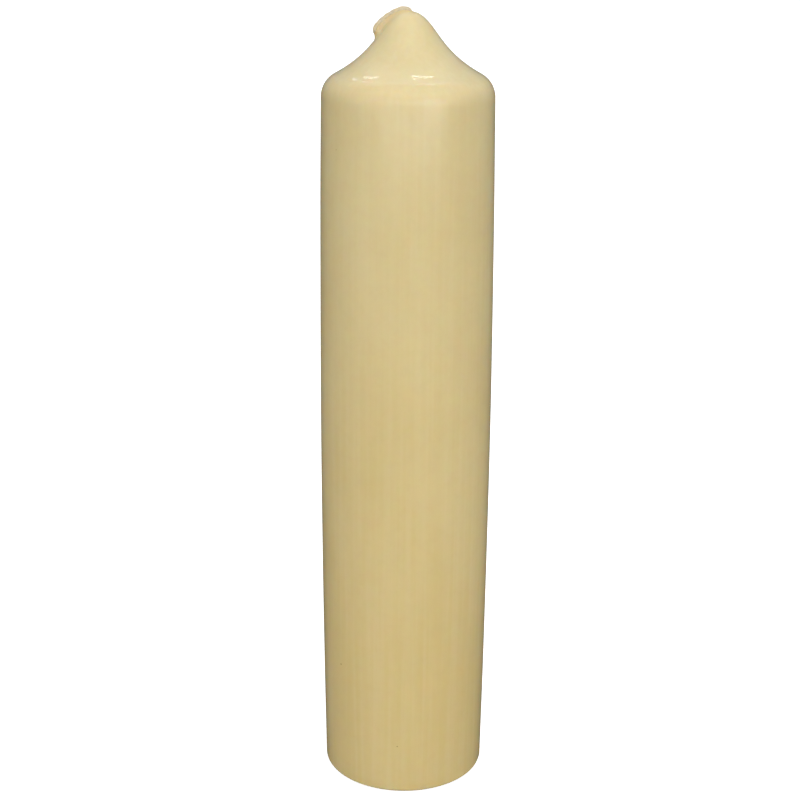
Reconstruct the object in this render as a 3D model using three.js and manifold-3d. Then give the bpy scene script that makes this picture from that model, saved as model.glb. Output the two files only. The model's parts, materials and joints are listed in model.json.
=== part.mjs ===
// A pillar candle with a flared tip: a wax core in a dipped outer skin, a cotton wick folded over the tip
// and a steel wick sustainer let into the base. Millimetres, +Z up, base plane at z = 0, wick folded to -X.
import * as THREE from 'three';
import { mergeVertices } from 'three/addons/utils/BufferGeometryUtils.js';
import Module from 'manifold-3d';

// Driving dimensions of the wax body.
const RADIUS = 25; // widest, half way up the body
const WAX_HEIGHT = 228.7; // base plane to the crest of the tip
const BODY_HEIGHT = 205.5; // base plane to the start of the shoulder
const BARREL = 0.85; // how much the ends of the body are slimmer than its middle
const BASE_ROUNDING = 1.0;
const SHOULDER_ROUNDING = 7.0;
const TIP_ROUNDING = 6.1;
const FLARE_START = THREE.MathUtils.degToRad(28.7); // slope of the flare above level, at the shoulder
const FLARE_END = THREE.MathUtils.degToRad(34.4); // slope where the flare runs into the tip
const FLARE_HANDLES = [0.57, 0.25]; // lengths of the flare's two handles, as shares of its chord
const SKIN = 1.4; // thickness of the dipped coat
const CLEARANCE = 0.3; // air left between two neighbouring pieces

// The wick and the curve of its exposed end, as [x, height above the wax crest].
const WICK_RADIUS = 1.1;
const FOLD_HINGE = [-0.55, 0.1]; // where it bends as it leaves the wax
const FOLD_RISE = [-2.6, 1.0]; // handle that carries it over the crest
const FOLD_DROP = [-9.55, -3.85]; // handle that turns it down beside the tip
const FOLD_END = [-8.8, -5.7]; // its cut end
const FOLD_SPLIT = 0.45; // share of the curve before the second bend
const LEAN_HEIGHT = 6; // length over which the buried wick shifts sideways to the hinge

// The bead of wax under the wick's cut end.
const BEAD_RADIUS = 1.4;
const BEAD_HALF_LENGTH = 2.4;
const BEAD_BEYOND = 1.0; // how far its middle lies past the cut end
const BEAD_INSET = 0.5; // and how far in towards the tip

// The wick sustainer, a disc with a crimped neck.
const DISC_RADIUS = 10;
const DISC_THICKNESS = 0.5;
const DISC_RECESS = 0.5; // how far its underside stands above the base plane
const NECK_RADIUS = 2.0;
const NECK_HEIGHT = 6;
const NECK_FILLET = 0.8;

// Facets around each round shape, and along each curve.
const SIDES = 60;
const DISC_SIDES = 36;
const WICK_SIDES = 18;
const BODY_STEPS = 6;
const FLARE_STEPS = 8;
const ROUNDING_STEPS = 5; // of the shoulder, the tip and the wick's rounded ends
const SMALL_ROUNDING_STEPS = 4; // of the sustainer's fillet
const BASE_STEPS = 3;
const WICK_STEPS = 8; // along each link of the wick
const SLOT_STEPS = 14; // along the slot the links lie in
const PATH_STEPS = 6; // between the points that carry a stretch of the wick

const THROUGH = 1; // how far a cutting shape runs out past the face it cuts

const wasm = await Module();
wasm.setup();

// ---- solids ----------------------------------------------------------------------------------------

function toSolid(geometry) {
  const bare = geometry.clone();
  bare.deleteAttribute('normal');
  bare.deleteAttribute('uv');
  const merged = mergeVertices(bare, 1e-4);
  return new wasm.Manifold(new wasm.Mesh({
    numProp: 3,
    vertProperties: merged.attributes.position.array,
    triVerts: new Uint32Array(merged.index.array),
  }));
}

function toGeometry(solid) {
  const mesh = solid.getMesh();
  const geometry = new THREE.BufferGeometry();
  geometry.setAttribute('position', new THREE.BufferAttribute(mesh.vertProperties, 3));
  geometry.setIndex(new THREE.BufferAttribute(mesh.triVerts, 1));
  geometry.computeVertexNormals();
  return geometry;
}

// Turns an outline of [radius, height] points about the Z axis.
function turned(outline, sides = SIDES) {
  const points = outline.map(([r, z]) => new THREE.Vector2(r, z));
  return new THREE.LatheGeometry(points, sides).rotateX(Math.PI / 2);
}

function ball(radius, centre, sides = WICK_SIDES) {
  return new THREE.SphereGeometry(radius, sides, sides / 2).translate(centre.x, centre.y, centre.z);
}

function tube(path, radius, steps) {
  const section = new THREE.Shape();
  section.absarc(0, 0, radius, 0, 2 * Math.PI);
  const settings = { steps, curveSegments: WICK_SIDES / 2, extrudePath: path };
  return new THREE.ExtrudeGeometry(section, settings);
}

// ---- outlines of the wax ---------------------------------------------------------------------------

// Points on an arc, each with its outward normal. Angles are from the horizontal.
function arc(centre, radius, from, to, steps) {
  return Array.from({ length: steps + 1 }, (_, i) => {
    const angle = from + ((to - from) * i) / steps;
    const normal = [Math.cos(angle), Math.sin(angle)];
    return { point: [centre[0] + radius * normal[0], centre[1] + radius * normal[1]], normal };
  });
}

function barrelRadius(z) {
  const t = (z - BASE_ROUNDING) / (BODY_HEIGHT - BASE_ROUNDING);
  return RADIUS - BARREL + BARREL * 4 * t * (1 - t);
}

function bodySide(from, to, steps) {
  return Array.from({ length: steps + 1 }, (_, i) => {
    const z = from + ((to - from) * i) / steps;
    return { point: [barrelRadius(z), z], normal: [1, 0] };
  });
}

// The ogee between the shoulder and the tip.
function flare(start, end, steps) {
  const chord = Math.hypot(end[0] - start[0], end[1] - start[1]);
  const [near, far] = FLARE_HANDLES.map((share) => share * chord);
  const curve = new THREE.CubicBezierCurve(
    new THREE.Vector2(...start),
    new THREE.Vector2(start[0] - near * Math.cos(FLARE_START), start[1] + near * Math.sin(FLARE_START)),
    new THREE.Vector2(end[0] + far * Math.cos(FLARE_END), end[1] - far * Math.sin(FLARE_END)),
    new THREE.Vector2(...end),
  );
  return Array.from({ length: steps + 1 }, (_, i) => {
    const point = curve.getPoint(i / steps);
    const along = curve.getTangent(i / steps);
    return { point: [point.x, point.y], normal: [along.y, -along.x] };
  });
}

// Everything above the body: shoulder, flare and tip, up to the crest on the axis.
function topOutline() {
  const shoulderCentre = [RADIUS - BARREL - SHOULDER_ROUNDING, BODY_HEIGHT];
  const shoulder = arc(shoulderCentre, SHOULDER_ROUNDING, 0, Math.PI / 2 - FLARE_START, ROUNDING_STEPS);
  const tipCentre = [0, WAX_HEIGHT - TIP_ROUNDING];
  const tip = arc(tipCentre, TIP_ROUNDING, Math.PI / 2 - FLARE_END, Math.PI / 2, ROUNDING_STEPS);
  const middle = flare(shoulder.at(-1).point, tip[0].point, FLARE_STEPS);
  return [...shoulder, ...middle.slice(1, -1), ...tip];
}

// The outline moved inwards by a depth, with its last point brought back to the axis.
function sunk(outline, depth) {
  const points = outline.map(({ point, normal }) => [
    point[0] - depth * normal[0],
    point[1] - depth * normal[1],
  ]);
  points.at(-1)[0] = 0;
  return points;
}

// ---- the wick's shapes -----------------------------------------------------------------------------

const foldPoint = ([x, above]) => new THREE.Vector3(x, 0, WAX_HEIGHT + above);
const foldCurve = new THREE.CubicBezierCurve3(
  foldPoint(FOLD_HINGE),
  foldPoint(FOLD_RISE),
  foldPoint(FOLD_DROP),
  foldPoint(FOLD_END),
);
const hinge = foldCurve.getPoint(0);
const secondBend = foldCurve.getPoint(FOLD_SPLIT);

// A stretch of the folded wick's centreline, run on past its end by an overrun.
function foldPath(from, to, overrun = 0) {
  const shares = Array.from({ length: PATH_STEPS + 1 }, (_, i) => from + ((to - from) * i) / PATH_STEPS);
  const points = shares.map((share) => foldCurve.getPoint(share));
  points.at(-1).addScaledVector(foldCurve.getTangent(to), overrun);
  return new THREE.CatmullRomCurve3(points);
}

// A round-topped column on the wick's buried line, whose top leans over to end in a ball at the hinge.
function wickColumn(radius, bottom) {
  const leanStart = hinge.z - LEAN_HEIGHT;
  const leaning = Array.from({ length: PATH_STEPS }, (_, i) => leanStart + (i * LEAN_HEIGHT) / PATH_STEPS);
  const side = [bottom, ...leaning].map((z) => [radius, z]);
  const dome = arc([0, hinge.z], radius, 0, Math.PI / 2, ROUNDING_STEPS).map(({ point }) => point);
  dome.at(-1)[0] = 0;
  const column = turned([[0, bottom], ...side, ...dome], WICK_SIDES);
  const position = column.attributes.position;
  for (let i = 0; i < position.count; i += 1) {
    const share = THREE.MathUtils.smoothstep(position.getZ(i), leanStart, hinge.z);
    position.setX(i, position.getX(i) + share * hinge.x);
  }
  return column;
}

// ---- the pieces ------------------------------------------------------------------------------------

const wickBore = toSolid(wickColumn(WICK_RADIUS + CLEARANCE, -THROUGH));

// All that lies deeper in the wax than the depth given, down to a flat bottom at the height given.
function waxWithin(depth, bottom) {
  const side = bodySide(bottom, BODY_HEIGHT, BODY_STEPS);
  const outline = sunk([...side.slice(0, -1), ...topOutline()], depth);
  return toSolid(turned([[0, bottom], ...outline]));
}

// A bead of wax left under the wick's cut end, against the side of the tip.
function waxBead() {
  const centre = foldPoint(FOLD_END).addScaledVector(foldCurve.getTangent(1), BEAD_BEYOND);
  const ellipsoid = ball(1, new THREE.Vector3()).scale(BEAD_RADIUS, BEAD_RADIUS, BEAD_HALF_LENGTH);
  return ellipsoid.rotateY(-FLARE_END).translate(centre.x + BEAD_INSET, centre.y, centre.z);
}

function dippedShell() {
  const baseCentre = [RADIUS - BARREL - BASE_ROUNDING, BASE_ROUNDING];
  const base = arc(baseCentre, BASE_ROUNDING, -Math.PI / 2, 0, BASE_STEPS);
  const side = bodySide(BASE_ROUNDING, BODY_HEIGHT, BODY_STEPS);
  const outside = sunk([...base, ...side.slice(1, -1), ...topOutline()], 0);
  const whole = toSolid(turned([[0, 0], ...outside])).add(toSolid(waxBead()));
  const wickSlot = toSolid(tube(foldPath(0, 1, CLEARANCE), WICK_RADIUS + CLEARANCE, SLOT_STEPS));
  return toGeometry(whole.subtract(waxWithin(SKIN, -THROUGH)).subtract(wickBore).subtract(wickSlot));
}

// The hole in the base that takes the sustainer: a shallow pocket for the disc and a bore for the neck.
function sustainerPocket() {
  const discTop = DISC_RECESS + DISC_THICKNESS + CLEARANCE;
  const bore = NECK_RADIUS + CLEARANCE;
  const neckTop = DISC_RECESS + NECK_HEIGHT + CLEARANCE;
  return turned([
    [0, -THROUGH],
    [DISC_RADIUS + CLEARANCE, -THROUGH],
    [DISC_RADIUS + CLEARANCE, discTop],
    [bore + NECK_FILLET, discTop],
    [bore, discTop + NECK_FILLET],
    [bore, neckTop],
    [0, neckTop],
  ]);
}

function waxCore() {
  const core = waxWithin(SKIN + CLEARANCE, 0);
  return toGeometry(core.subtract(toSolid(sustainerPocket())).subtract(wickBore));
}

function wickSustainer() {
  const bore = WICK_RADIUS + CLEARANCE;
  const discTop = DISC_RECESS + DISC_THICKNESS;
  const neckTop = DISC_RECESS + NECK_HEIGHT;
  const filletCentre = [NECK_RADIUS + NECK_FILLET, discTop + NECK_FILLET];
  const fillet = arc(filletCentre, NECK_FILLET, -Math.PI / 2, -Math.PI, SMALL_ROUNDING_STEPS);
  return turned([
    [bore, DISC_RECESS],
    [DISC_RADIUS, DISC_RECESS],
    [DISC_RADIUS, discTop],
    ...fillet.map(({ point }) => point),
    [NECK_RADIUS, neckTop],
    [bore, neckTop],
    [bore, DISC_RECESS],
  ], DISC_SIDES);
}

// The first link of the exposed wick, cupped round the buried wick's ball, with a ball at its far end.
function wickBend() {
  const link = toSolid(tube(foldPath(0, FOLD_SPLIT), WICK_RADIUS, WICK_STEPS));
  return toGeometry(link.add(toSolid(ball(WICK_RADIUS, secondBend))).subtract(wickBore));
}

// The second link, cupped round the first one's ball and cut off square at the tip.
function wickTip() {
  const link = toSolid(tube(foldPath(FOLD_SPLIT, 1), WICK_RADIUS, WICK_STEPS));
  return toGeometry(link.subtract(toSolid(ball(WICK_RADIUS + CLEARANCE, secondBend))));
}

// ---- materials and the assembly --------------------------------------------------------------------

const skinWax = new THREE.MeshStandardMaterial({ color: 0xd9c795, roughness: 0.25, metalness: 0 });
const coreWax = new THREE.MeshStandardMaterial({ color: 0xe6dab4, roughness: 0.6, metalness: 0 });
const cotton = new THREE.MeshStandardMaterial({ color: 0xd6cbb4, roughness: 0.85, metalness: 0 });
const tinnedSteel = new THREE.MeshStandardMaterial({ color: 0xb9bbbd, roughness: 0.35, metalness: 1 });

const candle = new THREE.Group();
candle.name = 'unity_candle';

function addPiece(name, geometry, material) {
  const piece = new THREE.Mesh(geometry, material);
  piece.name = name;
  candle.add(piece);
}

addPiece('dipped_shell', dippedShell(), skinWax);
addPiece('wax_core', waxCore(), coreWax);
addPiece('wick_sustainer', wickSustainer(), tinnedSteel);
addPiece('wick', wickColumn(WICK_RADIUS, DISC_RECESS), cotton);
addPiece('wick_bend', wickBend(), cotton);
addPiece('wick_tip', wickTip(), cotton);

export default candle;
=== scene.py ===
# The looks of a flared pillar candle with a folded wick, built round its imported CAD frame.
# Metres, +Z up, wick folded to -X. Shapes are worked out in millimetres of the candle and scaled by MM.
import json
import math

import bmesh
import bpy
import numpy as np
from mathutils import Matrix, Vector, noise


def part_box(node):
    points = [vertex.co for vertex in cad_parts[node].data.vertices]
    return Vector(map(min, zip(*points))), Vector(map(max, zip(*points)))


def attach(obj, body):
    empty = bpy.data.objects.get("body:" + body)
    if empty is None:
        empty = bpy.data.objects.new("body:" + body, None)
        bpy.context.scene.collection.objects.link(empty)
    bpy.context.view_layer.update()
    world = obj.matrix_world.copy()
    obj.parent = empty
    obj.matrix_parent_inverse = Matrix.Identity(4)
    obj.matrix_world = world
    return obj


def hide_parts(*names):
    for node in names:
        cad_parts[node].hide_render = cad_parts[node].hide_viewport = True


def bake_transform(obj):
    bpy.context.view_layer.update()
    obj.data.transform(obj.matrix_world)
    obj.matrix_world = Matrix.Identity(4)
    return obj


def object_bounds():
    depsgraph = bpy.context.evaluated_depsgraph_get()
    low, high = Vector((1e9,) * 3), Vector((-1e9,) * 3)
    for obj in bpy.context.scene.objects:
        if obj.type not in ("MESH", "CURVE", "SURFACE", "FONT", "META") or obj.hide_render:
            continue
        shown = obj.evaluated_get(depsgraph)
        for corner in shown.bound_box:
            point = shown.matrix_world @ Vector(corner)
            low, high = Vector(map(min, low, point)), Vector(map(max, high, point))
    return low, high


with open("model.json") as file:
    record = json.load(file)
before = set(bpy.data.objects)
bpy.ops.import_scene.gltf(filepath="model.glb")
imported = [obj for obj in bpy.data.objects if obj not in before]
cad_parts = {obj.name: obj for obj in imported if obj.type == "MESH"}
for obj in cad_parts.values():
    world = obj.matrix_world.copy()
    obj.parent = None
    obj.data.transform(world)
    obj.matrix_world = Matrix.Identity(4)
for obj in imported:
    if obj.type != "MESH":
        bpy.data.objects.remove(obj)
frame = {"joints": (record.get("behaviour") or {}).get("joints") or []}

# ---- sizes -------------------------------------------------------------------------------------------

CAD_LOW, CAD_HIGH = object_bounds()
SHELL_LOW, SHELL_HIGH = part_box("dipped_shell")
CORE_LOW, CORE_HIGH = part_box("wax_core")
DISC_LOW, DISC_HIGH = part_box("wick_sustainer")
MM = SHELL_HIGH.x / 25  # one millimetre of the candle

# The wax body, in millimetres.
RADIUS = 25.0
WAX_HEIGHT = 228.7
BODY_HEIGHT = 205.5
BARREL = 0.85
BASE_ROUNDING = 1.0
SHOULDER_ROUNDING = 7.0
TIP_ROUNDING = 6.1
FLARE_START = math.radians(28.7)
FLARE_END = math.radians(34.4)
FLARE_HANDLES = (0.57, 0.25)
SKIN = 1.4
CORE_DEPTH = RADIUS - CORE_HIGH.x / MM  # skin plus the gap behind it

# The wick's centreline above the wax, as (x, height above the crest of the wax) handles of one curve.
WICK_RADIUS = 1.1
WICK_FOLD = ((0.0, -0.7), (-0.6, 2.4), (-9.4, -3.5), (-8.8, -5.5))
WICK_BOTTOM = DISC_LOW.z / MM
HINGE = np.array(frame["joints"][0]["pos_m"]) / MM
SECOND_BEND = np.array(frame["joints"][1]["pos_m"]) / MM
ROOT, BASE_LINK, END_LINK = "candle", "wick_base_link", "wick_end_link"

AROUND = 256  # points round the wax
CROWDING = 0.6  # 0 for even spacing round the wax, nearer 1 for more of the points beside the wick
INSIDE_SPACING = 3.0  # between rings on surfaces that are out of sight


# ---- curves and meshes -------------------------------------------------------------------------------


def arc(centre, radius, start, end, count=60):
    angles = np.linspace(start, end, count)
    return np.stack([centre[0] + radius * np.cos(angles), centre[1] + radius * np.sin(angles)], axis=1)


def bezier(handles, count=200):
    p = np.array(handles, float)
    t = np.linspace(0, 1, count)[:, None]
    return (1 - t) ** 3 * p[0] + 3 * (1 - t) ** 2 * t * p[1] + 3 * (1 - t) * t**2 * p[2] + t**3 * p[3]


def spaced(curve, spacing):
    """The curve's points moved to even steps of about the spacing given."""
    steps = np.linalg.norm(np.diff(curve, axis=0), axis=1)
    along = np.concatenate([[0], np.cumsum(steps)])
    places = np.linspace(0, along[-1], max(2, round(along[-1] / spacing) + 1))
    return np.stack([np.interp(places, along, column) for column in curve.T], axis=1)


def smooth(value, low, high):
    t = np.clip((value - low) / (high - low), 0, 1)
    return t * t * (3 - 2 * t)


def mesh_object(name, points, faces, uvs=None):
    """A smooth-shaded object from points in millimetres; uvs holds one (u, v) per point."""
    mesh = bpy.data.meshes.new(name)
    mesh.from_pydata((np.asarray(points) * MM).tolist(), [], faces)
    shaped = bmesh.new()
    shaped.from_mesh(mesh)
    bmesh.ops.recalc_face_normals(shaped, faces=shaped.faces)
    shaped.to_mesh(mesh)
    shaped.free()
    mesh.polygons.foreach_set("use_smooth", [True] * len(mesh.polygons))
    if uvs is not None:
        layer = mesh.uv_layers.new(name="Along")
        corners = np.empty(len(mesh.loops), int)
        mesh.loops.foreach_get("vertex_index", corners)
        layer.data.foreach_set("uv", np.asarray(uvs)[corners].astype(np.float32).ravel())
    mesh.validate()
    obj = bpy.data.objects.new(name, mesh)
    bpy.context.scene.collection.objects.link(obj)
    return obj


def ring_faces(rows, around, closed_rows=False):
    """Quads between rows of points that each close on themselves."""
    last = rows if closed_rows else rows - 1
    faces = []
    for row in range(last):
        a, b = row * around, ((row + 1) % rows) * around
        for i in range(around):
            j = (i + 1) % around
            faces.append((a + i, a + j, b + j, b + i))
    return faces


def revolve(outline, around, crowding=0.0):
    """Points of an outline of (radius, height) turned about Z, as rows of rings, crowded towards -X."""
    turns = np.linspace(0, 2 * np.pi, around, endpoint=False)
    angles = np.pi + turns - crowding * np.sin(turns)
    outline = np.asarray(outline)
    x = outline[:, :1] * np.cos(angles)
    y = outline[:, :1] * np.sin(angles)
    z = np.repeat(outline[:, 1:], around, axis=1)
    return np.stack([x, y, z], axis=2)


def fractal(points, size, stretch=(1, 1, 1), seed=0.0):
    """Smooth noise from -1 to 1 at each point, with features of about the size given in millimetres."""
    scaled = np.asarray(points) / (size * np.array(stretch)) + seed
    return np.array([noise.fractal(Vector(p), 1.0, 2.0, 3) for p in scaled.reshape(-1, 3)])


# ---- the outline of the wax --------------------------------------------------------------------------


def wax_outline():
    """(radius, height) from the base edge to the crest, in three stretches: foot and body, shoulder, top."""
    end_radius = RADIUS - BARREL
    foot = arc((end_radius - BASE_ROUNDING, BASE_ROUNDING), BASE_ROUNDING, -np.pi / 2, 0)
    share = np.linspace(0, 1, 400)[1:]
    bulge = end_radius + BARREL * 4 * share * (1 - share)
    body = np.stack([bulge, BASE_ROUNDING + (BODY_HEIGHT - BASE_ROUNDING) * share], axis=1)
    shoulder_centre = (end_radius - SHOULDER_ROUNDING, BODY_HEIGHT)
    shoulder = arc(shoulder_centre, SHOULDER_ROUNDING, 0, np.pi / 2 - FLARE_START)
    tip = arc((0, WAX_HEIGHT - TIP_ROUNDING), TIP_ROUNDING, np.pi / 2 - FLARE_END, np.pi / 2)
    chord = np.linalg.norm(tip[0] - shoulder[-1])
    near = chord * FLARE_HANDLES[0] * np.array([-math.cos(FLARE_START), math.sin(FLARE_START)])
    far = chord * FLARE_HANDLES[1] * np.array([-math.cos(FLARE_END), math.sin(FLARE_END)])
    flare = bezier([shoulder[-1], shoulder[-1] + near, tip[0] - far, tip[0]])
    return foot, body, shoulder, np.vstack([flare, tip[1:]])


def inward(outline, depth):
    """The outline moved into the wax by a depth, kept off the far side of the axis."""
    along = np.gradient(outline, axis=0)
    along /= np.linalg.norm(along, axis=1)[:, None]
    moved = outline - depth * np.stack([along[:, 1], -along[:, 0]], axis=1)
    return moved[moved[:, 0] >= 0]


FOOT, BODY, SHOULDER, TOP = wax_outline()
SIDE_AND_TOP = np.vstack([[[BODY[0, 0], 0]], BODY, SHOULDER[1:], TOP[1:]])  # without the base's rounded edge


def surface_height(radius):
    """Height of the top surface at a radius inside the shoulder."""
    top = np.vstack([SHOULDER, TOP[1:]])[::-1]
    return np.interp(radius, top[:, 0], top[:, 1])


# ---- the wick's centreline ---------------------------------------------------------------------------

LINE_STEP = 0.05


def wick_centreline():
    """Closely spaced points (x, 0, z) from the buried end to the cut end."""
    buried = np.array([[0, WICK_BOTTOM], [0, WAX_HEIGHT + WICK_FOLD[0][1]]])
    fold = bezier([(x, WAX_HEIGHT + above) for x, above in WICK_FOLD], 400)
    line = spaced(np.vstack([buried, fold[1:]]), LINE_STEP)
    return np.stack([line[:, 0], np.zeros(len(line)), line[:, 1]], axis=1)


CENTRELINE = wick_centreline()


# ---- the dipped skin ---------------------------------------------------------------------------------

LONG_WAVES = 0.05  # height of the slow unevenness of the coat
SHORT_WAVES = 0.012
MOUTH_RADIUS = 1.17  # of the hole the wick comes out of
MOUTH_EDGE = 0.04  # how much wider the hole is at its rounded edge
MOUTH_DROPS = (0.03, 0.2)  # how far below the surface the rounded edge of the hole starts and ends
MOUTH_SHIFT = 0.2  # of the hole towards the fold
GROOVE_RADIUS = 1.12  # of the bed the folded wick lies in
LIP = (1.0, 1.3)  # how far from the wick's middle the side of the bed starts to rise, and where it has risen
UNBEDDED_END = 0.9  # length of wick that sticks out past the end of its bed
BEAD_RADIUS = 1.42  # of the wax that has run in under the wick
BEAD_DROP = 0.5  # how far its middle lies from the wick's, towards the candle
BEAD_BEYOND = 1.3  # how far it runs on past the wick's cut end
BEAD_TAPER = 0.75  # its radius at the far end of that, as a share
BEAD_FILLET = 1.1  # the softness of its join with the wax below
BEAD_STARTS = 0.6  # how far along the fold from the crest it starts
BEAD_REACH = 3.0  # the furthest it lifts the surface
BEAD_STEPS = 8
LIFT_STEP = 0.1
SOFTENING_PASSES = 4
TOP_DEPTH = 14  # how far below and round the crest the folded wick reaches, with room to spare
TOP_AHEAD, TOP_ASIDE = 2.5, 4  # how far its bed reaches on the far side of the axis, and to each side
STAIN_AND_SHADE_REACH = (1.1, 3.0)  # how far from the wick's middle the wax is darkened by a stain and painted shade, and where that has faded


def surface_normals(points):
    """Outward unit normals of the turned surface near its top."""
    radius = np.hypot(points[:, 0], points[:, 1])
    inner, outer = np.maximum(radius - LINE_STEP, 0), radius + LINE_STEP
    slope = (surface_height(outer) - surface_height(inner)) / (2 * LINE_STEP)
    flat = points[:, :2] / np.maximum(radius, 1e-6)[:, None]
    normal = np.column_stack([-slope[:, None] * flat, np.ones(len(points))])
    return normal / np.linalg.norm(normal, axis=1)[:, None]


def directions(line):
    """Unit vectors along a line in the plane of the fold."""
    along = np.gradient(line, axis=0)
    return along / np.linalg.norm(along, axis=1)[:, None]


def outward(along):
    """Unit vectors square to the wick, away from the candle where it is folded down."""
    return np.stack([along[:, 2], np.zeros(len(along)), -along[:, 0]], axis=1)


def bead_shape():
    """The wax bead's middle, on the wick's candle side and run on past its cut end; and its radii."""
    line = CENTRELINE[CENTRELINE[:, 0] < -BEAD_STARTS][::4]
    along = directions(line)
    beyond = line[-1] + np.linspace(0, BEAD_BEYOND, BEAD_STEPS)[1:, None] * along[-1]
    along = np.vstack([along, np.repeat(along[-1:], len(beyond), axis=0)])
    taper = np.concatenate([np.ones(len(line)), np.linspace(1, BEAD_TAPER, BEAD_STEPS)[1:]])
    return np.vstack([line, beyond]) - BEAD_DROP * outward(along), BEAD_RADIUS * taper


def rounded_union(a, b, fillet):
    """Distance to two joined shapes with a fillet between them."""
    overlap = np.clip(0.5 + 0.5 * (b - a) / fillet, 0, 1)
    return b * (1 - overlap) + a * overlap - fillet * overlap * (1 - overlap)


def bedded_wick():
    """The folded part of the wick's line that has a bed in the wax."""
    folded = CENTRELINE[CENTRELINE[:, 2] > WAX_HEIGHT - TOP_DEPTH]
    return folded[: -round(UNBEDDED_END / LINE_STEP)][::3]


def distances(points, line):
    return np.linalg.norm(points[:, None, :] - line[None, :, :], axis=2)


def bead_lift(points, normal):
    """How far the bead carries each point of the surface out along its normal, round the wick's bed."""
    middle, radii = bead_shape()
    wick = bedded_wick()
    top, bed = np.zeros((2, len(points)))
    under_wick = np.zeros(len(points), bool)
    closest = np.full(len(points), np.inf)
    before = None
    for rise in np.arange(0, BEAD_REACH, LIFT_STEP):
        raised = points + normal * rise
        depth = rounded_union(rise, (distances(raised, middle) - radii).min(axis=1), BEAD_FILLET)
        to_wick = distances(raised, wick).min(axis=1)
        inside = depth < 0
        if before is not None:
            leaves = (before < 0) & (depth >= 0)
            top[leaves] = (rise - LIFT_STEP * depth / (depth - before))[leaves]
        bed[inside & ~under_wick] = rise
        under_wick |= to_wick < GROOVE_RADIUS
        closest = np.minimum(closest, np.where(inside, to_wick, closest))
        before = depth
    bed = np.minimum(bed, top)
    return bed + (top - bed) * smooth(closest, *LIP)


def bed_the_wick(points):
    """Draws the wax up round the folded wick, with the wick's own bed pressed into it.

    Also gives how near each point is to the wick, from 0 to 1."""
    beside = (points[:, 0] < TOP_AHEAD) & (np.abs(points[:, 1]) < TOP_ASIDE)
    high = points[:, 2] > WAX_HEIGHT - TOP_DEPTH
    near = beside & high & (np.hypot(points[:, 0], points[:, 1]) < TOP_DEPTH)
    wax = points[near]
    normal = surface_normals(wax)
    wax = wax + normal * bead_lift(wax, normal)[:, None]
    wax[:, 0] -= MOUTH_SHIFT * (1 - smooth(np.hypot(wax[:, 0], wax[:, 1]), MOUTH_RADIUS, 3))
    wick = bedded_wick()
    to_wick = distances(wax, wick)
    distance, centre = to_wick.min(axis=1), wick[to_wick.argmin(axis=1)]
    inside = distance < GROOVE_RADIUS
    away = (wax - centre) / np.maximum(distance, 1e-6)[:, None]
    wax[inside] = (centre + away * GROOVE_RADIUS)[inside]
    points[near] = wax
    nearness = np.zeros(len(points))
    nearness[near] = 1 - smooth(distance, *STAIN_AND_SHADE_REACH)
    return softened(points, nearness), nearness


def softened(points, share):
    """Evens the grid of points out between neighbours, by up to the share given at each point."""
    grid = points.reshape(-1, AROUND, 3)
    share = 0.5 * share.reshape(-1, AROUND, 1)[1:-1]
    for _ in range(SOFTENING_PASSES):
        beside = (np.roll(grid, 1, axis=1) + np.roll(grid, -1, axis=1))[1:-1]
        grid[1:-1] += share * ((beside + grid[:-2] + grid[2:]) / 4 - grid[1:-1])
    return grid.reshape(-1, 3)


def dipping_waves(points):
    """The gentle unevenness a dipped coat sets with, as a radial shift that fades out at base and tip."""
    radius = np.hypot(points[:, 0], points[:, 1])
    long_waves = LONG_WAVES * fractal(points, 26, stretch=(1, 1, 3.2))
    short_waves = SHORT_WAVES * fractal(points, 7, stretch=(1, 1, 5), seed=11.3)
    fade = smooth(points[:, 2], 0.5, 4) * smooth(radius, 3, 9)
    shift = fade * (long_waves + short_waves)
    points[:, :2] *= (1 + shift / np.maximum(radius, 1))[:, None]
    return points


def make_skin():
    """The coat: its outside from the sole up to the mouth, then down the hole and back along its inside."""
    end_radius = RADIUS - BARREL
    sole = np.array([[end_radius - SKIN, 0], [end_radius - BASE_ROUNDING, 0]])
    top = spaced(TOP, 0.15)
    outside = np.vstack([
        spaced(sole, 0.2)[:-1],
        spaced(FOOT, 0.18),
        spaced(BODY, 1.6)[1:],
        spaced(SHOULDER, 0.35)[1:],
        top[top[:, 0] > MOUTH_RADIUS][1:],
    ])
    mouth_height = surface_height(MOUTH_RADIUS)
    mouth = np.array([
        [MOUTH_RADIUS, mouth_height - MOUTH_DROPS[0]],
        [MOUTH_RADIUS - MOUTH_EDGE, mouth_height - MOUTH_DROPS[1]],
    ])
    behind = inward(SIDE_AND_TOP, SKIN)
    behind[0, 1] = 0
    behind = spaced(behind[behind[:, 0] > MOUTH_RADIUS], INSIDE_SPACING)[::-1]
    inner_top = inward(TOP, SKIN)[::-1]
    hole_bottom = [MOUTH_RADIUS - MOUTH_EDGE, np.interp(MOUTH_RADIUS, inner_top[:, 0], inner_top[:, 1])]
    inside = np.vstack([[hole_bottom], behind[:-1]])

    outer_points = revolve(np.vstack([outside, mouth]), AROUND, CROWDING).reshape(-1, 3)
    outer_points, nearness = bed_the_wick(dipping_waves(outer_points))
    inner_points = revolve(inside, AROUND, CROWDING).reshape(-1, 3)
    points = np.vstack([outer_points, inner_points])
    rows = len(points) // AROUND
    skin = mesh_object("dipped_wax_skin", points, ring_faces(rows, AROUND, closed_rows=True))
    # the wax darker beside the wick: a stain from the wick plus painted shade in the crease along it
    stain_and_shade = skin.data.attributes.new("beside_wick", "FLOAT", "POINT")
    stain_and_shade_values = np.concatenate([nearness, np.zeros(len(inner_points))])
    stain_and_shade.data.foreach_set("value", stain_and_shade_values.astype(np.float32))
    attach(skin, ROOT)
    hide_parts("dipped_shell")
    return skin


# ---- the core ----------------------------------------------------------------------------------------

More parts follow.
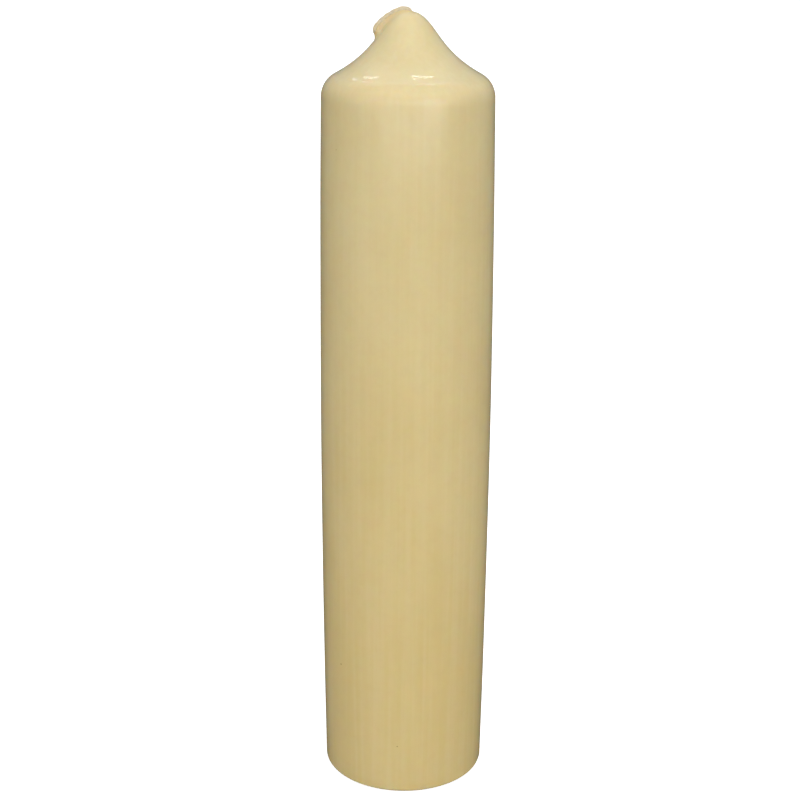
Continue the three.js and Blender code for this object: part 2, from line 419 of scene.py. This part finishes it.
GAP = 0.3  # left round the sustainer
BORE_RADIUS = WICK_RADIUS + 0.2
POCKET_RADIUS = DISC_HIGH.x / MM + GAP
POCKET_HEIGHT = 1.3
POCKET_ROUNDING = 0.3
NECK_BORE = 2.3
NECK_ROUNDING = 0.8
NECK_TOP = DISC_HIGH.z / MM + GAP
CORE_EDGE = 0.3
CORE_AROUND = 192
SOLE_RISE = 0.05  # of the core's levelled base above the skin's, and the height of its unevenness
SOLE_MARGIN = 0.2  # left level round its edge


def stepped(*corners, spacing):
    """Points along straight lines between corners, without the first corner."""
    lines = [spaced(np.array(pair, float), spacing)[1:] for pair in zip(corners, corners[1:])]
    return np.vstack(lines)


def make_core():
    """The pillar inside the skin, with the sustainer's pocket in its levelled base."""
    side = inward(SIDE_AND_TOP, CORE_DEPTH)
    side[0, 1] = 0
    side = spaced(side[side[:, 0] > BORE_RADIUS], INSIDE_SPACING)
    base_radius = side[0, 0]
    neck_foot = POCKET_HEIGHT + NECK_ROUNDING
    pocket_edge = POCKET_RADIUS - POCKET_ROUNDING
    mouth_edge = POCKET_RADIUS + POCKET_ROUNDING
    outline = np.vstack([
        [[BORE_RADIUS, NECK_TOP]],
        stepped((BORE_RADIUS, NECK_TOP), (NECK_BORE, NECK_TOP), (NECK_BORE, neck_foot), spacing=0.6),
        arc((NECK_BORE + NECK_ROUNDING, neck_foot), -NECK_ROUNDING, 0, np.pi / 2, 6)[1:],
        stepped((NECK_BORE + NECK_ROUNDING, POCKET_HEIGHT), (pocket_edge, POCKET_HEIGHT), spacing=0.5),
        arc((pocket_edge, POCKET_HEIGHT - POCKET_ROUNDING), POCKET_ROUNDING, np.pi / 2, 0, 5)[1:],
        arc((mouth_edge, POCKET_ROUNDING), -POCKET_ROUNDING, 0, np.pi / 2, 6),
        stepped((mouth_edge, 0), (base_radius - CORE_EDGE, 0), spacing=0.35),
        arc((base_radius - CORE_EDGE, CORE_EDGE), CORE_EDGE, -np.pi / 2, 0, 5)[1:],
        side[1:],
        stepped((BORE_RADIUS, side[-1, 1]), (BORE_RADIUS, NECK_TOP), spacing=20)[:-1],
    ])
    points = revolve(outline, CORE_AROUND).reshape(-1, 3)
    radius = np.hypot(points[:, 0], points[:, 1])
    sole = (points[:, 2] < SOLE_RISE / 2) & (radius < base_radius - SOLE_MARGIN)
    points[sole, 2] += SOLE_RISE * (1 + fractal(points[sole], 4, seed=3.1))
    core = mesh_object("wax_core_pillar", points, ring_faces(len(outline), CORE_AROUND, closed_rows=True))
    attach(core, ROOT)
    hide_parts("wax_core")
    return core


# ---- the wick sustainer ------------------------------------------------------------------------------

PLATE_LIFT = 0.08  # of the plate above its seat
SHEET = 0.3  # thickness of the plate
BORE_HEIGHTS = (0.5, 0.7)  # above the plate's underside, where its bore starts and where the tube's ends
RIM_ROUNDING = 0.2
FLANGE = 0.35  # how much the plate's underside is dished round the wick
NECK_OUTSIDE = 1.9
NECK_LIP = 0.15
NECK_FILLET = 0.9
SUSTAINER_AROUND = 144
RING_RADIUS, RING_HALF_WIDTH, RING_HEIGHT = 7.4, 0.45, 0.14
RIBS, RIB_HEIGHT = 6, 0.12
RIB_ENDS = ((3.0, 3.8), (5.6, 6.4))  # the radii between which a rib rises, and falls again
CRIMPS, CRIMP_DEPTH, CRIMP_HALF_HEIGHT = 4, 0.17, 0.9


def make_sustainer():
    """A pressed disc with a rolled rim, a raised ring and ribs, and a neck crimped on to the wick."""
    rim, neck_top = DISC_HIGH.x / MM, DISC_HIGH.z / MM
    bore = WICK_RADIUS + 0.1
    bottom = DISC_LOW.z / MM + PLATE_LIFT
    bore_low, bore_high = (bottom + height for height in BORE_HEIGHTS)
    top = bottom + SHEET
    outline = np.vstack([
        [[bore, bore_low]],
        stepped((bore, bore_low), (bore + FLANGE, bottom), (rim - 0.25, bottom), spacing=0.1),
        arc((rim - RIM_ROUNDING, bottom + 0.12), RIM_ROUNDING, -np.pi / 2, np.pi / 2, 9),
        [[rim - 0.3, top]],
        stepped((rim - 0.3, top), (NECK_OUTSIDE + NECK_FILLET, top), spacing=0.1),
        arc((NECK_OUTSIDE + NECK_FILLET, top + NECK_FILLET), -NECK_FILLET, np.pi / 2, 0, 8)[1:],
        stepped((NECK_OUTSIDE, top + NECK_FILLET), (NECK_OUTSIDE, neck_top - NECK_LIP), spacing=0.15),
        arc((NECK_OUTSIDE - NECK_LIP, neck_top - NECK_LIP), NECK_LIP, 0, np.pi, 7)[1:],
        stepped((NECK_OUTSIDE - 2 * NECK_LIP, neck_top - NECK_LIP), (bore, bore_high), spacing=0.25),
    ])
    points = revolve(outline, SUSTAINER_AROUND).reshape(-1, 3)
    x, y, height = points.T
    radius, angle = np.hypot(x, y), np.arctan2(y, x)
    ring = RING_HEIGHT * np.exp(-(((radius - RING_RADIUS) / RING_HALF_WIDTH) ** 2))
    rib_length = smooth(radius, *RIB_ENDS[0]) * (1 - smooth(radius, *RIB_ENDS[1]))
    ribs = RIB_HEIGHT * np.clip(np.cos(RIBS * angle), 0, 1) ** 6 * rib_length
    on_disc = height < top + 0.3
    on_neck = (height > top + 1.2) & (radius < 2.2)
    crimp_height = np.exp(-(((height - (top + neck_top) / 2) / CRIMP_HALF_HEIGHT) ** 2))
    crimp = CRIMP_DEPTH * crimp_height * np.clip(np.cos(CRIMPS * angle), 0, 1) ** 2
    points[on_disc, 2] += (ring + ribs)[on_disc]
    points[on_neck, :2] *= (1 - crimp)[on_neck, None]
    faces = ring_faces(len(outline), SUSTAINER_AROUND, closed_rows=True)
    sustainer = mesh_object("crimped_wick_sustainer", points, faces)
    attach(sustainer, ROOT)
    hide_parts("wick_sustainer")
    return sustainer


# ---- the wick ----------------------------------------------------------------------------------------

STRANDS_EACH_WAY = 4
PLAIT_PITCH = 2.0  # millimetres along the wick from one strand to the next
PLAIT_RELIEF = 0.24
STRAND_WIDTH = 1.3
STRAND_ROUNDING = 3.2  # 4 for strands that are round to their edges, 0 for flat ones
OVER_UNDER = 0.35  # how far a strand rises and dips as it crosses the others
WICK_AROUND = 72
CAP_RINGS = (0.94, 0.8, 0.6, 0.4, 0.2, 0.04)
CUT_GRAIN = 0.5  # size of the bumps on the cut end
CUT_ROUGHNESS = 0.12  # and their height
RING_SPACING = 0.07
BURIED_RING_SPACING = 0.5
SEAM_BEYOND_HINGE = 3.75
FINE_RINGS_BELOW_HINGE = 5  # length of wick below the hinge that gets closely spaced rings


def plait(turn, along):
    """The strands of a plait that cross over and under at an angle round the wick.

    Gives the height at each place, 0 to 1, and where that is across and along the strand on top."""
    u = STRANDS_EACH_WAY * turn + along / PLAIT_PITCH
    v = STRANDS_EACH_WAY * turn - along / PLAIT_PITCH
    i, j = np.round(u), np.round(v)
    round_u = np.sqrt(np.clip(1 - STRAND_ROUNDING * (u - i) ** 2, 0, 1))
    round_v = np.sqrt(np.clip(1 - STRAND_ROUNDING * (v - j) ** 2, 0, 1))
    height_u = round_u + OVER_UNDER * np.cos(np.pi * (v + i))
    height_v = round_v - OVER_UNDER * np.cos(np.pi * (u + j))
    on_top = height_u > height_v
    across = np.where(on_top, (u - i) + 7 * i, (v - j) + 7 * j + 3)
    along_strand = np.where(on_top, v, u)
    height = np.clip(np.maximum(height_u, height_v) / (1 + OVER_UNDER), 0, 1)
    return height, np.stack([across, along_strand], axis=2) * STRAND_WIDTH


def wick_rings(line, start, around):
    """Rings of the plaited wick round a stretch of its centreline that starts at a length along it."""
    along_line = np.concatenate([[0], np.cumsum(np.linalg.norm(np.diff(line, axis=0), axis=1))]) + start
    turns = np.linspace(0, 1, around, endpoint=False)
    height, uvs = plait(*np.meshgrid(turns, along_line))
    radius = WICK_RADIUS - PLAIT_RELIEF * (1 - height)
    up = radius * np.cos(2 * np.pi * turns)
    points = line[:, None, :] + up[:, :, None] * outward(directions(line))[:, None, :]
    points[:, :, 1] += radius * np.sin(2 * np.pi * turns)
    return points, uvs


def end_cap(ring, uvs, seed):
    """Rings that close the end of the wick, shrinking to its middle, with an uneven surface."""
    centre = ring.mean(axis=0)
    normal = np.cross(ring[0] - centre, ring[len(ring) // 4] - centre)
    normal /= np.linalg.norm(normal)
    shares = np.array(CAP_RINGS)
    cap = centre + (ring - centre) * shares[:, None, None]
    uneven = fractal(cap, CUT_GRAIN, seed=seed).reshape(cap.shape[:2])
    cap += (CUT_ROUGHNESS * uneven * (1 - shares[:, None] ** 4))[:, :, None] * normal
    return cap, np.repeat(uvs[None], len(cap), axis=0)


def wick_piece(name, line, start, seed):
    """A closed stretch of wick. Its end rings are sharp, so that two stretches meet without a seam."""
    points, uvs = wick_rings(line, start, WICK_AROUND)
    first, first_uvs = end_cap(points[0], uvs[0], seed)
    last, last_uvs = end_cap(points[-1], uvs[-1], seed)
    rows = len(CAP_RINGS)
    points = np.vstack([first[::-1], points, last])
    uvs = np.vstack([first_uvs, uvs, last_uvs])
    count = len(points) * WICK_AROUND
    ends = [tuple(range(WICK_AROUND))[::-1], tuple(range(count - WICK_AROUND, count))]
    faces = ring_faces(len(points), WICK_AROUND) + ends
    piece = mesh_object(name, points.reshape(-1, 3), faces, uvs.reshape(-1, 2))
    for edge in piece.data.edges:
        a, b = (vertex // WICK_AROUND for vertex in edge.vertices)
        edge.use_edge_sharp = a == b and a in (rows, len(points) - rows - 1)
    return piece


def along_centreline(near):
    """Length along the centreline at its point nearest the one given."""
    return LINE_STEP * np.linalg.norm(CENTRELINE - near, axis=1).argmin()


def stretch_of_wick(start, end, spacing):
    return spaced(CENTRELINE[round(start / LINE_STEP) : round(end / LINE_STEP) + 1], spacing)


def make_wick():
    """The wick in two meshes that meet on the first link."""
    hinge_at = along_centreline(HINGE)
    seam_at = hinge_at + SEAM_BEYOND_HINGE
    end_at = LINE_STEP * (len(CENTRELINE) - 1)
    shown_from = hinge_at - FINE_RINGS_BELOW_HINGE
    deep = stretch_of_wick(0, shown_from, BURIED_RING_SPACING)
    shallow = stretch_of_wick(shown_from, seam_at, RING_SPACING)
    lower = wick_piece("wick_braid_lower", np.vstack([deep[:-1], shallow]), 0, seed=5.0)
    upper = wick_piece("wick_braid_upper", stretch_of_wick(seam_at, end_at, RING_SPACING), seam_at, seed=9.0)

    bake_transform(lower)
    bend_at = along_centreline(SECOND_BEND)
    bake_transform(upper)
    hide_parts("wick", "wick_bend")
    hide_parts("wick_tip")
    return lower, upper


FIBRES = 30
FIBRE_SIDES = 6
FIBRE_STEPS = 7
FIBRE_ROOT = 0.15  # how deep in the cut end they start
FIBRE_LENGTHS = (0.3, 0.75)
FIBRE_RADII = (0.05, 0.08)
FIBRE_TAPER = 0.75
FIBRE_LEAN = (-0.25, 0.65)  # outwards, and for each fibre a little any way as well
FIBRE_SCATTER = 0.2
FIBRE_SPREAD = 0.85  # of the cut face, by radius


def make_cut_fibres():
    """Cotton ends standing out of the wick's cut face."""
    rng = np.random.default_rng(7)
    end = CENTRELINE[-1]
    tangent = (end - CENTRELINE[-8]) / np.linalg.norm(end - CENTRELINE[-8])
    side = np.array([tangent[2], 0, -tangent[0]])
    sideways = np.array([0.0, 1.0, 0.0])
    around = np.linspace(0, 2 * np.pi, FIBRE_SIDES, endpoint=False)
    circle = np.cos(around)[:, None] * side + np.sin(around)[:, None] * sideways
    share = np.linspace(0, 1, FIBRE_STEPS)[:, None]
    tube_uvs = [(k / FIBRE_SIDES, t) for t in share[:, 0] for k in range(FIBRE_SIDES)]
    points, faces = [], []
    for _ in range(FIBRES):
        angle = rng.uniform(0, 2 * np.pi)
        reach = WICK_RADIUS * FIBRE_SPREAD * math.sqrt(rng.uniform(0, 1))
        radial = math.cos(angle) * side + math.sin(angle) * sideways
        root = end + reach * radial - FIBRE_ROOT * tangent
        length = rng.uniform(*FIBRE_LENGTHS)
        lean = rng.uniform(*FIBRE_LEAN) * radial + rng.normal(0, FIBRE_SCATTER, 3)
        thickness = rng.uniform(*FIBRE_RADII) * (1 - FIBRE_TAPER * share)
        middle = root + length * (share * tangent + share**2 * lean)
        base = len(points)
        points.extend((middle[:, None] + thickness[:, None] * circle).reshape(-1, 3))
        faces += [tuple(base + k for k in face) for face in ring_faces(FIBRE_STEPS, FIBRE_SIDES)]
        last = base + (FIBRE_STEPS - 1) * FIBRE_SIDES
        faces += [tuple(range(base, base + FIBRE_SIDES))[::-1], tuple(range(last, last + FIBRE_SIDES))]
    fibres = mesh_object("wick_cut_fibres", points, faces, tube_uvs * FIBRES)
    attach(fibres, END_LINK)
    return fibres


# ---- materials ---------------------------------------------------------------------------------------


class Nodes:
    """A node tree that is built up one node at a time."""

    def __init__(self, tree):
        self.tree = tree

    def node(self, kind, settings=None, **inputs):
        made = self.tree.nodes.new(kind)
        for key, value in (settings or {}).items():
            setattr(made, key, value)
        for key, value in inputs.items():
            self.connect(value, made.inputs[key.replace("_", " ")])
        return made

    def connect(self, value, socket):
        if isinstance(value, bpy.types.NodeSocket):
            self.tree.links.new(value, socket)
        else:
            socket.default_value = value

    def math(self, operation, a, b):
        made = self.node("ShaderNodeMath", {"operation": operation})
        self.connect(a, made.inputs[0])
        self.connect(b, made.inputs[1])
        return made.outputs[0]

    def ramp(self, value, low, high, start=0.0, end=1.0):
        """Maps low..high to start..end, clamped."""
        made = self.node("ShaderNodeMapRange", Value=value)
        made.inputs["From Min"].default_value = low
        made.inputs["From Max"].default_value = high
        made.inputs["To Min"].default_value = start
        made.inputs["To Max"].default_value = end
        return made.outputs["Result"]

    def mix(self, factor, a, b):
        made = self.node("ShaderNodeMix", {"data_type": "RGBA"})
        self.connect(factor, made.inputs[0])
        self.connect(a, made.inputs[6])
        self.connect(b, made.inputs[7])
        return made.outputs[2]

    def mix_shaders(self, factor, a, b):
        made = self.tree.nodes.new("ShaderNodeMixShader")
        for socket, value in zip(made.inputs, (factor, a, b)):
            self.connect(value, socket)
        return made.outputs[0]


class Shader(Nodes):
    """A surface material. Lengths are in millimetres of the candle."""

    def __init__(self, name):
        self.material = bpy.data.materials.new(name)
        self.material.use_nodes = True
        super().__init__(self.material.node_tree)
        self.surface = self.tree.nodes["Principled BSDF"]

    def set(self, **inputs):
        for key, value in inputs.items():
            self.connect(value, self.surface.inputs[key.replace("_", " ")])

    def places(self, stretch=(1, 1, 1), source="Object"):
        """Texture coordinates in millimetres, divided along each axis by the stretch given."""
        coordinates = self.node("ShaderNodeTexCoord").outputs[source]
        unit = 1 if source == "UV" else MM
        mapping = self.node("ShaderNodeMapping", Vector=coordinates)
        mapping.inputs["Scale"].default_value = [1 / (unit * s) for s in stretch]
        return mapping.outputs["Vector"]

    def noise(self, size, stretch=(1, 1, 1), detail=3.0, roughness=0.5, source="Object"):
        made = self.node("ShaderNodeTexNoise", Vector=self.places(stretch, source))
        made.inputs["Scale"].default_value = 1 / size
        made.inputs["Detail"].default_value = detail
        made.inputs["Roughness"].default_value = roughness
        return made.outputs["Fac"]

    def bump(self, height, distance, normal=None):
        """Bump of a height in millimetres."""
        made = self.node("ShaderNodeBump", Height=height)
        made.inputs["Distance"].default_value = distance * MM
        if normal is not None:
            self.connect(normal, made.inputs["Normal"])
        return made.outputs["Normal"]


def linear(red, green, blue):
    """A display colour, 0 to 255, as the linear colour that nodes take."""
    values = [c / 255 for c in (red, green, blue)]
    return [c / 12.92 if c <= 0.04045 else ((c + 0.055) / 1.055) ** 2.4 for c in values] + [1.0]


def skin_wax():
    """Ivory wax, glossy and slightly clear, with faint streaks, clouding and specks; painted light makes it
    paler to the top, and a stain with painted shade darkens it beside the wick.
    """
    s = Shader("ivory_dipped_wax")
    clouds = s.noise(22, stretch=(1, 1, 2.5), detail=4)
    streaks = s.noise(1.6, stretch=(1, 1, 45), detail=3)
    mottle = s.noise(3.5, detail=4, roughness=0.6)
    height = s.node("ShaderNodeSeparateXYZ", Vector=s.places()).outputs["Z"]
    # painted light: the wax colour turns paler towards the top, where more light falls from above
    painted_top_light = s.ramp(height, 50, 185)
    body = s.mix(s.ramp(clouds, 0.35, 0.65), linear(219, 199, 147), linear(215, 195, 139))
    tip = s.mix(s.ramp(clouds, 0.35, 0.65), linear(222, 207, 162), linear(218, 201, 154))
    colour = s.mix(painted_top_light, body, tip)
    colour = s.mix(s.ramp(streaks, 0.38, 0.68, 0, 0.14), colour, linear(232, 219, 182))
    colour = s.mix(s.ramp(mottle, 0.45, 0.75, 0, 0.14), colour, linear(206, 182, 126))
    cells = s.node("ShaderNodeTexVoronoi", Vector=s.places())
    cells.inputs["Scale"].default_value = 1 / 9
    speck = s.ramp(cells.outputs["Distance"], 0.018, 0.032, 1, 0)
    rare = s.ramp(s.node("ShaderNodeSeparateColor", Color=cells.outputs["Color"]).outputs["Red"], 0.72, 0.74)
    colour = s.mix(s.math("MULTIPLY", speck, rare), colour, linear(150, 122, 78))
    beside_wick = s.node("ShaderNodeAttribute", {"attribute_name": "beside_wick"}).outputs["Fac"]
    # stain and painted shade: the wax darker beside the wick, where shade falls in the crease along it
    colour = s.mix(s.math("MULTIPLY", beside_wick, 0.6), colour, linear(207, 180, 128))
    ripple = s.noise(5, stretch=(1, 1, 6), detail=2)
    peel = s.noise(0.9, detail=2)
    normal = s.bump(ripple, 0.014)
    normal = s.bump(streaks, 0.003, normal=normal)
    normal = s.bump(peel, 0.002, normal=normal)
    s.set(Base_Color=colour, Normal=normal, Roughness=s.ramp(mottle, 0.3, 0.7, 0.06, 0.1), IOR=1.44)
    s.set(Specular_IOR_Level=0.75)
    s.set(Subsurface_Weight=1.0, Subsurface_Radius=(1.0, 0.62, 0.3))
    s.set(Subsurface_Scale=s.ramp(beside_wick, 0, 1, 2.6 * MM, 0.7 * MM))
    return s.material


def core_wax():
    """Paler, duller wax with a grain of small crystals."""
    s = Shader("pale_core_wax")
    clouds = s.noise(9, detail=4)
    crystals = s.node("ShaderNodeTexVoronoi", {"feature": "SMOOTH_F1"}, Vector=s.places())
    crystals.inputs["Scale"].default_value = 1 / 0.8
    grain = crystals.outputs["Distance"]
    colour = s.mix(s.ramp(clouds, 0.35, 0.65), linear(233, 220, 182), linear(225, 209, 164))
    colour = s.mix(s.ramp(grain, 0.2, 0.6, 0.0, 0.35), colour, linear(240, 230, 200))
    scratches = s.noise(0.5, stretch=(1, 22, 1), detail=2)
    normal = s.bump(grain, 0.03)
    normal = s.bump(scratches, 0.02, normal=normal)
    s.set(Base_Color=colour, Normal=normal, Roughness=s.ramp(clouds, 0.3, 0.7, 0.4, 0.58), IOR=1.44)
    s.set(Subsurface_Weight=1.0, Subsurface_Radius=(1.0, 0.7, 0.4), Subsurface_Scale=2.0 * MM)
    return s.material


def waxed_cotton():
    """Cotton yarn, unbleached and greyish, soaked with wax that fills some of the plait."""
    s = Shader("waxed_cotton_braid")
    fibres = s.noise(0.07, stretch=(1, 12, 1), detail=3, source="UV")
    soaked = s.noise(1.6, detail=2)
    fuzz = s.noise(0.09, detail=3)
    colour = s.mix(s.ramp(fibres, 0.35, 0.7), linear(180, 166, 140), linear(226, 216, 192))
    colour = s.mix(s.ramp(soaked, 0.4, 0.65, 0, 0.7), colour, linear(216, 196, 150))
    normal = s.bump(fibres, 0.05)
    normal = s.bump(fuzz, 0.025, normal=normal)
    s.set(Base_Color=colour, Normal=normal, Roughness=s.ramp(soaked, 0.4, 0.7, 0.72, 0.4))
    s.set(Subsurface_Weight=0.3, Subsurface_Radius=(1.0, 0.8, 0.6), Subsurface_Scale=0.4 * MM)
    s.set(Sheen_Weight=0.15, Sheen_Roughness=0.5)
    return s.material


def tinned_steel():
    """Tinplate with drawing marks, dull patches and a little wax on it."""
    s = Shader("tinned_steel_plate")
    brushed = s.noise(0.12, stretch=(1, 30, 1), detail=3)
    patches = s.noise(2.2, detail=4, roughness=0.65)
    colour = s.mix(s.ramp(patches, 0.35, 0.7), linear(196, 197, 198), linear(160, 158, 152))
    normal = s.bump(brushed, 0.008)
    rough = s.math("ADD", s.ramp(patches, 0.35, 0.7, 0.2, 0.42), s.ramp(brushed, 0.3, 0.7, 0, 0.1))
    s.set(Base_Color=colour, Normal=normal, Metallic=1.0, Roughness=rough)
    return s.material


# ---- studio ------------------------------------------------------------------------------------------

FLOOR_HALF_WIDTH = 3000
FLOOR_LEVEL = -0.15
FLOOR_GLOW = 0.7
HORIZON_GLOW = 0.85  # of the floor's far front edge in reflections, where it meets the bright front wall
HORIZON_FADE = (-1100, -1550)  # along Y, where that starts and where it is full
BACKDROP_GLOW = 1.1
PANEL_FADE = 0.3  # the share of a panel's width and height, at each side, over which it fades out
CEILING, FRONT_WALL, ROOM = 0.76, 0.64, 0.14  # strength of the light from above, from the front and all round


def make_floor():
    """A wide floor. The camera sees it near white and reflections see it dark.

    It is clear from below, and under the candle, so that the underside can be looked at."""
    signs = ((-1, -1), (1, -1), (1, 1), (-1, 1))
    corners = [(x * FLOOR_HALF_WIDTH, y * FLOOR_HALF_WIDTH, FLOOR_LEVEL) for x, y in signs]
    floor = mesh_object("studio_floor", corners, [(0, 1, 2, 3)])
    s = Shader("pale_floor")
    grain = s.noise(60)
    path = s.node("ShaderNodeLightPath")
    seen = path.outputs["Is Camera Ray"]
    pale = s.mix(grain, (0.8, 0.8, 0.8, 1), (0.84, 0.84, 0.83, 1))
    unseen = s.mix(path.outputs["Is Glossy Ray"], (0.5, 0.48, 0.43, 1), (0.1, 0.095, 0.085, 1))
    s.set(Base_Color=s.mix(seen, unseen, pale), Roughness=0.9, Specular_IOR_Level=0.1)
    forward = s.node("ShaderNodeSeparateXYZ", Vector=s.places()).outputs["Y"]
    reflected = s.ramp(forward, *HORIZON_FADE, 0, HORIZON_GLOW)
    horizon = s.math("MULTIPLY", path.outputs["Is Glossy Ray"], reflected)
    glow = s.math("ADD", s.math("MULTIPLY", seen, FLOOR_GLOW), horizon)
    s.set(Emission_Color=(1, 1, 1, 1), Emission_Strength=glow)
    below = s.node("ShaderNodeNewGeometry").outputs["Backfacing"]
    from_axis = s.node("ShaderNodeVectorMath", {"operation": "LENGTH"}, Vector=s.places()).outputs["Value"]
    under_candle = s.math("LESS_THAN", from_axis, RADIUS - BARREL - BASE_ROUNDING)
    clear = s.node("ShaderNodeBsdfTransparent").outputs[0]
    surface = s.mix_shaders(s.math("MAXIMUM", below, under_candle), s.surface.outputs[0], clear)
    s.connect(surface, s.tree.nodes["Material Output"].inputs["Surface"])
    floor.data.materials.append(s.material)


def make_world():
    """White for the camera. For the candle, a room with a bright ceiling, a paler front and a dim back."""
    world = bpy.data.worlds.new("studio")
    bpy.context.scene.world = world
    world.use_nodes = True
    n = Nodes(world.node_tree)
    direction = n.node("ShaderNodeSeparateXYZ", Vector=n.node("ShaderNodeTexCoord").outputs["Generated"])
    upward = n.math("MAXIMUM", direction.outputs["Z"], 0.0)
    forward = n.math("MAXIMUM", n.math("MULTIPLY", direction.outputs["Y"], -1.0), 0.0)
    light = n.math("ADD", n.math("MULTIPLY", upward, CEILING), n.math("MULTIPLY", forward, FRONT_WALL))
    room = n.node("ShaderNodeBackground", Color=(1, 0.985, 0.96, 1), Strength=n.math("ADD", light, ROOM))
    backdrop = n.node("ShaderNodeBackground", Color=(1, 1, 1, 1), Strength=BACKDROP_GLOW)
    seen = n.node("ShaderNodeLightPath").outputs["Is Camera Ray"]
    both = n.mix_shaders(seen, room.outputs[0], backdrop.outputs[0])
    n.connect(both, n.tree.nodes["World Output"].inputs["Surface"])


def bearing(azimuth, elevation):
    """Unit vector towards an azimuth (0 in front, +90 to the right) and an elevation, in degrees."""
    a, e = math.radians(azimuth), math.radians(elevation)
    return Vector((math.sin(a) * math.cos(e), -math.cos(a) * math.cos(e), math.sin(e)))


def area_light(name, centre, across, width, height, power, target):
    """A rectangle at a point, facing the target, its width lying along the direction given."""
    light = bpy.data.lights.new(name, "AREA")
    light.shape = "RECTANGLE"
    light.size, light.size_y = width, height
    light.energy = power
    obj = bpy.data.objects.new(name, light)
    bpy.context.scene.collection.objects.link(obj)
    away = (centre - target).normalized()
    side = (across - away * across.dot(away)).normalized()
    up = away.cross(side)
    obj.matrix_world = Matrix.Translation(centre) @ Matrix((side, up, away)).transposed().to_4x4()
    return obj


def fade_out(light):
    """Dims a rectangular light smoothly towards its edges, keeping its power."""
    light.use_nodes = True
    n = Nodes(light.node_tree)
    place = n.node("ShaderNodeSeparateXYZ", Vector=n.node("ShaderNodeNewGeometry").outputs["Parametric"])
    strength = 1 / (1 - PANEL_FADE) ** 2
    for axis in "XY":
        from_middle = n.math("ABSOLUTE", n.math("SUBTRACT", place.outputs[axis], 0.5), 0.0)
        strength = n.math("MULTIPLY", strength, n.ramp(from_middle, 0.5 - PANEL_FADE, 0.5, 1.0, 0.0))
    n.connect(strength, n.tree.nodes["Emission"].inputs["Strength"])


def panel(name, azimuths, elevations, distance, power, target):
    """A soft panel that fills a range of azimuths and elevations as seen from the target."""
    azimuth, elevation = sum(azimuths) / 2, sum(elevations) / 2
    reach = 2 * distance / (1 - PANEL_FADE)
    width = reach * math.tan(math.radians(azimuths[1] - azimuths[0]) / 2)
    height = reach * math.tan(math.radians(elevations[1] - elevations[0]) / 2)
    centre = target + bearing(azimuth, elevation) * distance
    made = area_light(name, centre, bearing(azimuth + 90, 0), width, height, power, target)
    fade_out(made.data)


def tube(name, start, end, distance, thickness, power, target):
    """A lamp tube between two bearings from the target."""
    a, b = bearing(*start) * distance, bearing(*end) * distance
    area_light(name, target + (a + b) / 2, b - a, (b - a).length, thickness, power, target)


def make_lights():
    tip = Vector((0, 0, CAD_HIGH.z * 0.93))
    middle = Vector((0, 0, CAD_HIGH.z / 2))
    panel("key_front", (-30, 45), (30, 75), 1.8, 3.8, middle)
    panel("window_left", (-75, -38), (-8, 26), 0.9, 0.4, tip)
    panel("window_middle", (-38, 16), (-8, 26), 0.9, 1.32, tip)
    panel("window_right", (16, 50), (-8, 28), 0.9, 1.55, tip)
    panel("ceiling_panel", (150, 210), (53, 77), 1.3, 1.2, tip)
    tube("ceiling_tube_right", (174, 73), (146.5, 61.5), 1.2, 0.02, 0.14, tip)
    tube("ceiling_tube_left", (-148, 58), (-149, 46), 1.2, 0.022, 0.075, tip)
    tube("ceiling_lamp_right", (174, 69.4), (168, 68.8), 1.2, 0.016, 0.016, tip)
    tube("ceiling_lamp_left", (-152.5, 42.5), (-153.5, 37.5), 1.2, 0.02, 0.02, tip)


# ---- camera ------------------------------------------------------------------------------------------

CAMERA_BACK = 8.943  # distance in front of the candle's axis, in widths of the candle
CAMERA_UP = 5.288  # height above the base, in widths of the candle
CAMERA_PITCH = 18.24  # degrees below level
CAMERA_YAW = -0.22
CAMERA_ROLL = 0.37
CAMERA_LENS = 72.0


def make_camera():
    width = SHELL_HIGH.x - SHELL_LOW.x
    data = bpy.data.cameras.new("camera")
    data.lens = CAMERA_LENS
    data.sensor_width = 36.0
    data.clip_start = 0.01
    camera = bpy.data.objects.new("camera", data)
    bpy.context.scene.collection.objects.link(camera)
    pitch, yaw, roll = (math.radians(a) for a in (CAMERA_PITCH, CAMERA_YAW, CAMERA_ROLL))
    turn = Matrix.Rotation(-yaw, 4, "Z") @ Matrix.Rotation(math.pi / 2 - pitch, 4, "X")
    turn = turn @ Matrix.Rotation(roll, 4, "Z")
    camera.matrix_world = Matrix.Translation((0, -CAMERA_BACK * width, CAMERA_UP * width)) @ turn
    bpy.context.scene.camera = camera


# ---- the whole scene ---------------------------------------------------------------------------------


def main():
    make_skin().data.materials.append(skin_wax())
    make_core().data.materials.append(core_wax())
    make_sustainer().data.materials.append(tinned_steel())
    cotton = waxed_cotton()
    for piece in (*make_wick(), make_cut_fibres()):
        piece.data.materials.append(cotton)
    make_floor()
    make_world()
    make_lights()
    make_camera()
    bpy.context.scene.view_settings.view_transform = "Standard"


main()
